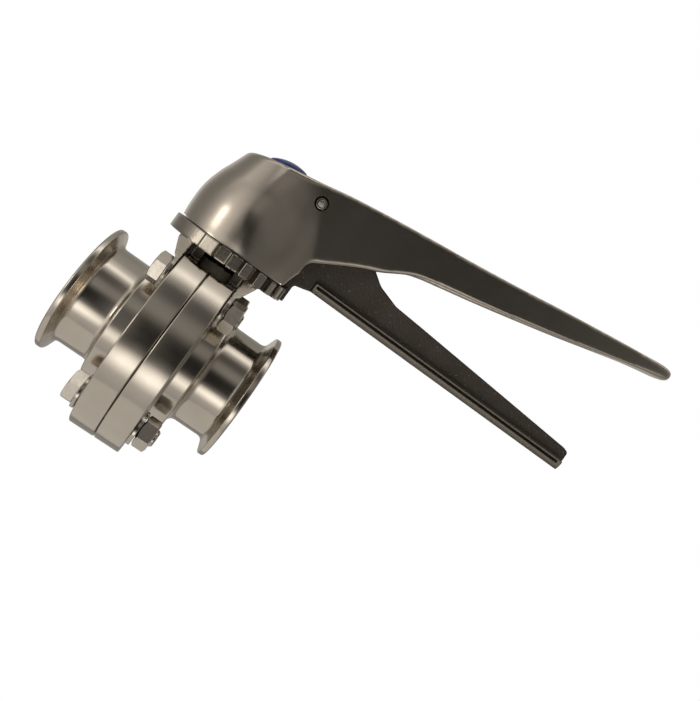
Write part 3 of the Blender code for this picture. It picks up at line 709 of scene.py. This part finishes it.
# %% [markdown]
# ## Index plate
# The plate is a casting that straddles the flanges. Its rim has a wide notch for open and
# for shut, narrow ones every 15 degrees between, and past each wide notch a stop with a flat
# face. Two legs reach down to the upper bolts, and a bridge joins them under the plate.
# Plate and legs are extruded from outlines and joined, then melted at less than half a
# millimetre, which rounds every edge the way a casting's shell does.

# %% Index plate
# Each notch is the angle of its middle and its half width, in degrees.
NOTCHES = [(-90, 6.5), *((angle, 3.6) for angle in range(-75, -14, 15)), (0, 6.5)]
STOP_SPAN, STOP_NEAR, STOP_FAR = 14, 32.0, 30.7
RIM_R, ROOT_R, BACK_R = 31.5, 27.4, 28.3


def polar(radius, angle, cx=0.0, cy=0.0):
    """A point from its distance and angle, in degrees, about a centre."""
    angle = math.radians(angle)
    return cx + radius * math.cos(angle), cy + radius * math.sin(angle)


def arc(radius, start, end, count, cx=0.0, cy=0.0):
    """Points of an arc, both ends included."""
    return [polar(radius, start + (end - start) * i / count, cx, cy) for i in range(count + 1)]


def plate_outline():
    first, last = NOTCHES[0][0] - NOTCHES[0][1], NOTCHES[-1][0] + NOTCHES[-1][1]
    start, end = first - STOP_SPAN, last + STOP_SPAN
    points = [polar(STOP_FAR, start), polar(STOP_NEAR, first)]
    for i, (angle, half) in enumerate(NOTCHES):
        points += arc(ROOT_R, angle - half + 0.5, angle + half - 0.5, 6)
        if i + 1 < len(NOTCHES):
            points += arc(RIM_R, angle + half, NOTCHES[i + 1][0] - NOTCHES[i + 1][1], 5)
    points += [polar(STOP_NEAR, last), polar(STOP_FAR, end)]
    return points + arc(BACK_R, end + 2, 360 + start - 2, 60)


def leg_outline():
    ear = arc(8.4, 45, -100, 14, 30.4, 30.4)
    arch = arc(33.4, 44, 90, 16)
    right = [(24.0, PLATE_LOW + 0.3), *ear, *arch]
    return right + [(-y, z) for y, z in reversed(right[:-1])]


def leg(side):
    inner, foot, top = 13.0, 15.0, 19.8
    slope = [(foot, 10), (foot, 38.4), (foot + 1.2, 39.0), (top, 45.7), (40, 45.7), (40, 10)]
    solid = combine(slab(leg_outline(), inner, top, "YZ"), slab(slope, -50, 50, "XZ"))
    return solid if side > 0 else rotate(solid, math.pi, "Z")


def index_plate():
    plate = combine(slab(plate_outline(), PLATE_LOW, PLATE_TOP), leg(1), leg(-1), operation="UNION")
    bridge = block((-13.5, -6, TOP_FLAT + 0.3), (13.5, 23, PLATE_LOW + 1))
    plate = combine(plate, bridge, operation="UNION")
    holes = [
        move(rod(BOLT_HOLE_R, -30, 30, "X"), y=y, z=BOLT_PLACE) for y in (-BOLT_PLACE, BOLT_PLACE)]
    return cast(combine(plate, rod(10, 40, 60), *holes), 0.4, 3)


piece("index_plate_cast", index_plate(), tumbled, "cast_steel", VALVE, "index_plate")

# %% [markdown]
# ## The handle
# The handle is one casting: a round bell over the stem, and a long grip with a channel under
# it. The bell's sides are drawn in towards the grip until the two are one flat face, which no
# plain union gives. So the shape is written as a distance: how far a point is from the bell,
# and how far from the grip. A soft minimum of two distances joins them with a fillet, and a
# soft maximum cuts with a rounded edge. First come the curves that the two follow.

# %% Curves of the handle
def curve_through(*points):
    """A smooth curve through points (place, value), as a function of one place or many."""
    xs, ys = np.array(points, dtype=float).T
    slopes = np.gradient(ys, xs)

    def at(x):
        x = np.clip(x, xs[0], xs[-1])
        i = np.clip(np.searchsorted(xs, x) - 1, 0, len(xs) - 2)
        span = xs[i + 1] - xs[i]
        t = (x - xs[i]) / span
        a, b = slopes[i] * span, slopes[i + 1] * span
        return ((2 * t ** 3 - 3 * t ** 2 + 1) * ys[i] + (t ** 3 - 2 * t ** 2 + t) * a
                + (3 * t ** 2 - 2 * t ** 3) * ys[i + 1] + (t ** 3 - t ** 2) * b)
    return at


# Along X: the grip's half width, the height of the top and the height of the underside.
grip_half = curve_through(
    (0, 20.5), (6, 20), (18, 19), (27.4, 17.8), (45.2, 15.4), (61.6, 13.8), (74.5, 13.1), (89.6, 12.6),
    (110.4, 12.2), (143.5, 11.4), (173.6, 10.6), (190, 10.1), (200, 9.7), (206, 9.2), (209.6, 8.6))
top_height = curve_through(
    (-30, 91.5), (-16, 94.6), (-8, 96.2), (0, 97.6), (8, 99.1), (18, 101.2), (27.4, 103.4),
    (45.2, 106.8), (61.6, 109.5), (74.5, 111.4), (89.6, 113.5), (110.4, 116.6), (143.5, 122.2),
    (173.6, 126.9), (190, 129.3), (200, 130.8), (209.6, 131.3))
grip_under = curve_through(
    (30, 68.2), (37, 72), (45.2, 76.8), (53.3, 81.2), (61.6, 85.2), (67.5, 88.8), (74.5, 92.8),
    (81, 95), (89.6, 97), (110.4, 101.6), (131.7, 106.7), (152.8, 112), (173.6, 117.6), (190, 121.9),
    (201.9, 124.4), (209.6, 125.6))
# Up the bell: its radius at each height.
BELL_SIDE = (
    (53.7, 29.2), (57.5, 29.6), (62, 29.8), (68, 29.7), (73, 29), (76.8, 28), (80.5, 26.8),
    (84.6, 25.1), (93.8, 21.6), (99.5, 19.6), (106, 17))
bell_radius = curve_through(*BELL_SIDE)
print("bell radius at 70 mm:", round(float(bell_radius(70.0)), 2))

# %% [markdown]
# The outer skin is the bell and the grip joined, then limited from above by the top's curve
# and from below by the underside's. Where a limit slopes, how far a point is past it up or
# sideways is more than how far it is from it, so it is multiplied by a factor just under one.
# The hollow is written the same way, a wall's thickness further in, round the stem's hub.

# %% Handle, as distances
BELL_X, BASE, STEP_X, TIP_X = 3.0, 53.7, 31.9, 208.5
WALL, ROOF = 3.2, 2.4
HUB_R, CHANNEL_START, CHANNEL_END = 12.5, 13.6, 173.6


def soft_min(a, b, blend):
    h = np.clip(0.5 + 0.5 * (b - a) / blend, 0, 1)
    return b * (1 - h) + a * h - blend * h * (1 - h)


def soft_max(a, b, blend):
    return -soft_min(-a, -b, blend)


def side_limit(x, z):
    """How far out the handle's flat sides let the bell come, drawn in towards the grip."""
    return 19.2 + 0.55 * soft_max(0.0, 18.0 - x, 4.0) + 0.25 * soft_max(0.0, 84.0 - z, 4.0)


def outside(p):
    """Signed distance, near enough, from the handle's outer skin, in millimetres."""
    x, y, z = p.T
    bell = (np.hypot(x - BELL_X, y) - bell_radius(z)) * 0.96
    bell = soft_max(bell, (np.abs(y) - side_limit(x, z)) * 0.86, 4.0)
    grip = soft_max(np.abs(y) - grip_half(x), x - TIP_X, 6.0)
    grip = soft_max(grip, 2.0 - x, 1.0)
    edge = np.interp(x, (10.0, 40.0, 185.0, 205.0), (1.6, 1.0, 1.0, 3.0))
    joined = soft_max(soft_min(bell, grip, 5.0), (z - top_height(x)) * 0.975, edge)
    under = soft_min(x - STEP_X, (grip_under(x) - z) * 0.95, 3.0)
    lip = np.interp(x, (50.0, 85.0, 185.0, 205.0), (2.2, 0.9, 0.9, 3.0))
    return soft_max(soft_max(joined, under, lip), BASE - 2.5 - z, 1.0)


def hollow(p):
    """Signed distance from the space inside the bell and under the grip."""
    x, y, z = p.T
    inside_r = np.interp(z, (53, 74, 80.5, 84), (25.0, 25.0, 21.5, 14.0))
    bell = soft_max(np.hypot(x - BELL_X, y) - inside_r, z - 84.0, 3.0)
    bell = soft_max(bell, np.abs(y) - side_limit(x, z) + WALL, 2.0)
    hub = soft_max(np.hypot(x, y) - HUB_R, 58.0 - z, 1.5)
    bell = soft_max(bell, -hub, 2.0)
    channel = soft_max(np.abs(y) - grip_half(x) + WALL, z - top_height(x) + ROOF, 4.0)
    channel = soft_max(channel, CHANNEL_START - x, 2.0)
    channel = soft_max(channel, x - CHANNEL_END, 4.0)
    return soft_min(bell, channel, 1.5)


def handle_skin(p):
    return soft_max(outside(p), -hollow(p), 1.3)


print("distance of the origin:", round(float(handle_skin(np.zeros((1, 3)))[0]), 1), "mm")

# %% [markdown]
# The rough solid only has to be close, with the same hollows: a spun bell and a long bar,
# less smaller copies of both. The bar is its side view extruded, cut across at many stations
# and then drawn in at each of them to the grip's width there.

# %% Handle, rough solid
DECK_AT, DECK_SLOPE = 97.5, math.radians(11.4)


def on_deck(bm):
    """Move a piece made about Z onto the sloping top of the bell."""
    return move(rotate(bm, -DECK_SLOPE, "Y"), z=DECK_AT)


def bar_along_grip(shrink, roof, start, end, floor):
    stations = np.linspace(start, end, 40)
    over = [(x, top_height(x) - roof) for x in stations[::-1]]
    bm = slab([(x, floor(x)) for x in stations] + over, -1, 1, "XZ")
    for x in stations[1:-1]:
        bmesh.ops.bisect_plane(
            bm, geom=bm.verts[:] + bm.edges[:] + bm.faces[:], dist=1e-7, plane_co=(x * MM, 0, 0),
            plane_no=(1, 0, 0))
    for vert in bm.verts:
        vert.co.y *= grip_half(vert.co.x / MM) - shrink
    return bm


def grip_floor(x):
    return BASE - 2.5 if x < STEP_X else grip_under(x)


def channel_floor(x):
    return BASE - 8 if x < 40 else grip_under(x) - 12


def handle_rough():
    low, high = BASE - 2.5, BELL_SIDE[-1][0]
    side = [(0, low), (BELL_SIDE[0][1], low), *((r, z) for z, r in BELL_SIDE), (0, high)]
    bell = move(spun(side, "Z", 64, closed=False), x=BELL_X)
    bell = combine(bell, on_deck(block((-60, -40, 0), (60, 40, 40))))
    inner_side = [(0, 48), (25, 48), (25, 74), (21.5, 80.5), (14, 84), (0, 84)]
    inside = move(spun(inner_side, "Z", 64, closed=False), x=BELL_X)
    inside = combine(inside, rod(HUB_R, 58, 90))
    grip = bar_along_grip(0, 0, 6.0, TIP_X - 0.4, grip_floor)
    channel = bar_along_grip(WALL, ROOF, CHANNEL_START, CHANNEL_END, channel_floor)
    return combine(combine(bell, grip, operation="UNION"), inside, channel)


rough = handle_rough()
print("rough handle", len(rough.faces), "faces")

# %% [markdown]
# The rough solid is rebuilt in small cells. Every vertex then slides along the slope of the
# distance until it lies on the skin, and relaxes with its neighbours, a few times over. The
# foot is cut flat, with a shallow rebate round it that shows as a dark line over the plate.

# %% Handle, settled on its skin
def settle(bm, distance, passes=5):
    """Slide every vertex onto the surface where the distance is nought."""
    points = np.array([v.co for v in bm.verts]) / MM
    step = 0.05
    for _ in range(passes):
        here = distance(points)
        slope = np.stack([
            (distance(points + step * e) - distance(points - step * e)) / (2 * step)
            for e in np.eye(3)], axis=1)
        length = np.maximum((slope ** 2).sum(axis=1), 0.15)
        points -= slope * np.clip(here / length, -0.8, 0.8)[:, None]
    for vert, place in zip(bm.verts, points * MM):
        vert.co = place
    return bm


def all_below(height):
    """A block of everything under the handle up to a height."""
    return block((-40, -40, 40), (60, 40, height))


handle = cast(rough, 0.85, 1)
for _ in range(4):
    relax(settle(handle, handle_skin))
inside_rebate = move(rod(28.0, 30, 60, sides=120), x=BELL_X)
handle = combine(handle, all_below(BASE), combine(all_below(BASE + 0.6), inside_rebate))
print("settled handle", len(handle.faces), "faces")

# %% [markdown]
# The bores come last, so that their edges stay crisp: the square for the stem, the way and
# well of the stem screw, the shallow seat of the blue plug, and the hole of the pin.

# %% Handle, bores
CAP_R, CAP_SEAT, CAP_WALL, CAP_RISE = 9.3, 1.8, 2.2, 4.4
SOCKET_HALF, SCREW_WAY_R, WELL_R, WELL_FLOOR = 4.5, 3.4, 8.2, 89.0

square_socket = block((-SOCKET_HALF, -SOCKET_HALF, 50), (SOCKET_HALF, SOCKET_HALF, SQUARE_TOP + 0.3))
cap_seat = on_deck(rod(CAP_R + 0.3, -(CAP_SEAT + 0.3), 10, "Z", 96))
flared = [(0, -30), (3.5, -30), (3.3, -18.4), (2.8, -16.5), (2.8, 16.5), (3.3, 18.4), (3.5, 30), (0, 30)]
pin_hole = move(spun(flared, "Y", 40, closed=False), x=PIN.x, z=PIN.z)
handle = combine(
    handle, square_socket, rod(SCREW_WAY_R, 80, 95), rod(WELL_R, WELL_FLOOR, 110), cap_seat, pin_hole)
piece("handle_cast", handle, linished, "cast_steel", HANDLE, "handle", sharp=50)

# %% [markdown]
# ## Plug, stem screw and pin
# The plug is a low wall with a shallow dome that stands on the slope of the bell's top.
# Under it a button head screw with a hexagon socket and a washer hold the handle down. The
# pin is a rolled spring pin, a tube with a slot along it.

# %% Plug, screw and pin
crown = CAP_RISE - CAP_WALL
ball = (CAP_R ** 2 + crown ** 2) / (2 * crown)
span = math.asin(CAP_R / ball) * 0.93
turns = [span * i / 14 for i in range(15)]
dome = [(ball * math.sin(a), CAP_RISE - ball + ball * math.cos(a)) for a in turns]
rim = [(CAP_R, CAP_WALL - 0.5), (CAP_R, -CAP_SEAT + 0.4), (CAP_R - 0.4, -CAP_SEAT), (0, -CAP_SEAT)]
plug = on_deck(spun(dome + rim, "Z", 96, closed=False))
piece("blue_plug", plug, blue, "blue_plastic", HANDLE, "indicator_cap")

low, high = (corner.z for corner in box_of("stem_washer"))
washer = spun(rounded([(3.4, high, 0.1), (7.2, high, 0.3), (7.2, low, 0.15), (3.4, low, 0.1)]), "Z", 64)
piece("stem_washer_plain", washer, bright, "bright_steel", HANDLE, "stem_washer")

under = high + 0.3
button = rounded([
    (0, under + 3.2, 0), (2.6, under + 3.2, 0), (4.2, under + 2.6, 2.0), (5.2, under + 0.6, 0.4),
    (5.2, under, 0.1), (2.9, under, 0.2), (2.9, 73.6, 0.1), (2.3, 73.0, 0.1), (0, 73.0, 0)],
    closed=False)
screw = combine(spun(button, "Z", 64, closed=False), rod(2.3, under + 1.3, under + 6, "Z", 6))
piece("stem_screw_button", screw, bright, "bright_steel", HANDLE, "stem_screw")

half = box_of("trigger_pin")[1].y
tube = spun(rounded([(1.5, half, 0.15), (2.5, half, 0.3), (2.5, -half, 0.3), (1.5, -half, 0.15)]), "Y", 64)
pin = combine(tube, rotate(block((0.2, -30, -0.45), (4, 30, 0.45)), 0.6, "Y"))
piece("spring_pin", move(pin, x=PIN.x, z=PIN.z), bright, "bright_steel", HANDLE, "trigger_pin")

# %% [markdown]
# ## Trigger
# The trigger is a web with a wide finger flange along its lower edge, an eye for the pin and
# a tongue that drops into a notch of the plate. The flange's sides have draft, and two narrow
# slots run along each. All are extruded, joined and melted like a casting.

# %% Trigger
def trigger_outline():
    return rounded([
        (16.2, 92.0, 3), (21.5, 74.0, 6), (25.6, 62.0, 4), (25.8, 54.6, 0.6), (32.4, 54.6, 0.6),
        (33.2, 57.0, 0.6), (37.0, 57.9, 1), (41.5, 59.2, 1), (186.4, 59.8, 2.4), (189.2, 62.8, 1.5),
        (189.0, 69.1, 1.2), (186.2, 70.1, 1.5), (142.7, 72.9, 0), (91.9, 76.1, 0), (77.5, 76.9, 9),
        (66.0, 80.3, 8), (60.5, 84.1, 1.5), (53.5, 88.5, 2), (40.0, 88.5, 3), (34.0, 91.0, 3),
        (25.6, 96.0, 2)])


def bar(start, end, low, high, half, edge):
    """A bar along X with rounded edges."""
    bm = block((start, -half, low), (end, half, high))
    bmesh.ops.bevel(
        bm, geom=bm.edges[:], offset=edge * MM, affect="EDGES", segments=3, profile=0.5, material=-1)
    return bm


def trigger():
    web = slab(trigger_outline(), -4.5, 4.5, "XZ")
    eye = move(rod(5.2, -14.2, 14.2, "Y", 64), x=PIN.x, z=PIN.z)
    right = [(7.6, 59.0), (8.9, 61.0), (9.5, 63.9)]
    flange = slab(right + [(-y, z) for y, z in reversed(right)], 40.6, 187.4, "YZ")
    tongue = bar(28.2, 32.9, 47.6, 56.0, 1.2, 0.3)
    slots = [
        move(bar(41.7, 185.3, low, high, 3.0, 0.1), y=side * out)
        for low, high, out in ((61.9, 63.0, 9.8), (60.6, 61.1, 11.2)) for side in (-1, 1)]
    solid = combine(web, eye, flange, tongue, operation="UNION")
    solid = cast(combine(solid, *slots), 0.36, 2)
    return combine(solid, move(rod(2.8, -30, 30, "Y"), x=PIN.x, z=PIN.z))


piece("trigger_cast", trigger(), grey_cast, "grey_cast", TRIGGER, "trigger", sharp=50)

# %% [markdown]
# ## Return spring
# The spring is a wound wire. A circle of the wire's radius stands beside the axis, and one
# spin that climbs as it turns winds it into the whole coil.

# %% Return spring
def spring():
    low, high = box_of("trigger_spring")
    wire, turns, per_turn = 0.6, 6, 28
    bm = bmesh.new()
    bmesh.ops.create_circle(bm, cap_ends=False, segments=10, radius=wire * MM)
    move(rotate(bm, math.pi / 2, "X"), x=(high.x - low.x) / 2 - wire)
    steps = turns * per_turn
    rise = (high.z - low.z - 2 * wire) / steps
    bmesh.ops.spin(
        bm, geom=bm.verts[:] + bm.edges[:], cent=(0, 0, 0), axis=(0, 0, 1), angle=math.tau * turns,
        dvec=(0, 0, rise * MM), steps=steps, use_duplicate=False)
    bmesh.ops.holes_fill(bm, edges=[e for e in bm.edges if e.is_boundary], sides=0)
    bmesh.ops.recalc_face_normals(bm, faces=bm.faces)
    return move(bm, (low.x + high.x) / 2, (low.y + high.y) / 2, low.z + wire)


piece("return_spring", spring(), bright, "bright_steel", HANDLE, "trigger_spring")

# %% [markdown]
# ## Floor and light
# Steel shows what is around it, so the studio is part of the finish. The eye sees white
# behind the valve, while the steel mirrors a room: it is black where the camera stands, with
# a bright window on the left and strip lamps over and under the camera. Two rings of
# brightness describe it, one that goes up and down past the camera and one that goes left
# and right; between them a direction takes a share of each.

# %% Studio
# Each stop is an angle from the camera's side, in degrees, and the brightness there.
UP_AND_DOWN = (
    (-180, 0.30), (-164, 0.36), (-150, 0.30), (-130, 0.26), (-90, 0.30), (-62, 0.38), (-40, 0.60),
    (-33, 1.30), (-27, 2.0), (-20, 1.6), (-12, 0.25), (-4, 0.09), (8, 0.012), (18, 0.04), (30, 0.29),
    (40, 0.26), (50, 0.11), (61, 0.10), (70, 0.45), (80, 1.5), (88, 0.8), (104, 0.40), (140, 0.28),
    (180, 0.30))
LEFT_AND_RIGHT = (
    (-180, 0.5), (-150, 0.75), (-138, 0.35), (-120, 0.23), (-95, 0.26), (-80, 0.45), (-66, 0.8), (-58, 0.9),
    (-44, 0.8), (-33, 0.65), (-26, 0.30), (-18, 0.10), (-10, 0.02), (4, 0.012), (18, 0.022),
    (26, 0.055), (34, 0.13), (80, 0.17), (108, 0.34), (150, 0.45), (180, 0.5))
BRIGHTEST = 2.0


def brightness_round(tree, across, ahead, stops):
    """Brightness round a circle of directions: stops are degrees from the camera's side."""
    angle = add_node(tree, "ShaderNodeMath", {0: across, 1: ahead}, operation="ARCTAN2")
    share = add_node(tree, "ShaderNodeMapRange", {0: angle.outputs[0], 1: -math.pi, 2: math.pi})
    ramp = add_node(tree, "ShaderNodeFloatCurve", {"Value": share.outputs[0]})
    curve = ramp.mapping.curves[0]
    while len(curve.points) < len(stops):
        curve.points.new(0.5, 0.5)
    for point, (degrees, bright_there) in zip(curve.points, stops):
        point.location = (degrees / 360 + 0.5, bright_there / BRIGHTEST)
        point.handle_type = "VECTOR"
    ramp.mapping.update()
    scaled = add_node(tree, "ShaderNodeMath", {0: ramp.outputs[0], 1: BRIGHTEST}, operation="MULTIPLY")
    return scaled.outputs[0]


def studio_world():
    world = bpy.data.worlds.new("studio")
    world.use_nodes = True
    tree = world.node_tree
    where = add_node(tree, "ShaderNodeTexCoord").outputs["Generated"]
    x, y, z = add_node(tree, "ShaderNodeSeparateXYZ", {0: where}).outputs
    ahead = add_node(tree, "ShaderNodeMath", {0: y, 1: -1.0}, operation="MULTIPLY").outputs[0]
    upright = brightness_round(tree, z, ahead, UP_AND_DOWN)
    level = brightness_round(tree, x, ahead, LEFT_AND_RIGHT)
    slant = add_node(tree, "ShaderNodeMath", {0: z, 1: x}, operation="ARCTAN2")
    sine = add_node(tree, "ShaderNodeMath", {0: slant.outputs[0]}, operation="SINE").outputs[0]
    share = add_node(tree, "ShaderNodeMath", {0: sine, 1: sine}, operation="MULTIPLY")
    room = add_node(tree, "ShaderNodeMix", {0: share.outputs[0], 2: level, 3: upright})
    tinted = add_node(
        tree, "ShaderNodeVectorMath", {0: colour("#fffaf3")[:3], "Scale": room.outputs[0]},
        operation="SCALE")
    rays = add_node(tree, "ShaderNodeLightPath").outputs["Is Camera Ray"]
    seen = add_node(
        tree, "ShaderNodeMix", {0: rays, 6: tinted.outputs[0], 7: colour("#ffffff")}, data_type="RGBA")
    connect(tree, tree.nodes["Background"], {"Color": seen.outputs[2], "Strength": 1.0})
    bpy.context.scene.world = world


def lamp(name, place, aim, width, height, power, tint="#ffffff"):
    data = bpy.data.lights.new(name, "AREA")
    data.shape = "RECTANGLE"
    data.size, data.size_y = width, height
    data.energy = power
    data.color = colour(tint)[:3]
    obj = into_scene(name, data)
    obj.location = place
    obj.rotation_euler = (Vector(aim) - Vector(place)).to_track_quat("-Z", "Y").to_euler()


studio_world()
lamp("window", (-0.90, -0.58, 0.06), (0, 0, 0.06), 0.22, 0.34, 0.62, "#fff6ea")
bpy.context.scene.view_settings.view_transform = "Standard"
print("studio lit by", len(bpy.data.lights), "lamp and the room")

# %% [markdown]
# ## The floor
# A round sheet of pale paper lies well below the valve, so that it lights the underside and
# hardly shows from the front. It glows a little, and more to the eye than to the steel, so
# that it stays pale from above without washing out the metal.

# %% Floor
FLOOR_R, FLOOR_Z = 450, -620


def floor():
    bm = bmesh.new()
    bmesh.ops.create_circle(bm, cap_ends=True, segments=64, radius=FLOOR_R * MM)
    move(bm, z=FLOOR_Z)
    mat, tree, shader = new_material("pale studio floor", Roughness=0.9)
    where = add_node(tree, "ShaderNodeTexCoord").outputs["Object"]
    cloud = add_node(tree, "ShaderNodeTexNoise", {"Vector": where, "Scale": per_mm(333), "Detail": 2.0})
    tone = add_node(
        tree, "ShaderNodeMix", {0: cloud.outputs[0], 6: colour("#f4f2ee"), 7: colour("#eceae5")},
        data_type="RGBA")
    rays = add_node(tree, "ShaderNodeLightPath").outputs["Is Camera Ray"]
    glow = add_node(tree, "ShaderNodeMapRange", {0: rays, 3: 0.2, 4: 0.5})
    connect(tree, shader, {"Base Color": tone.outputs[2], "Emission Strength": glow.outputs[0]})
    mesh = as_mesh("floor", bm)
    mesh.materials.append(mat)
    into_scene("floor", mesh)


floor()
print("floor", FLOOR_R * 2, "mm wide")
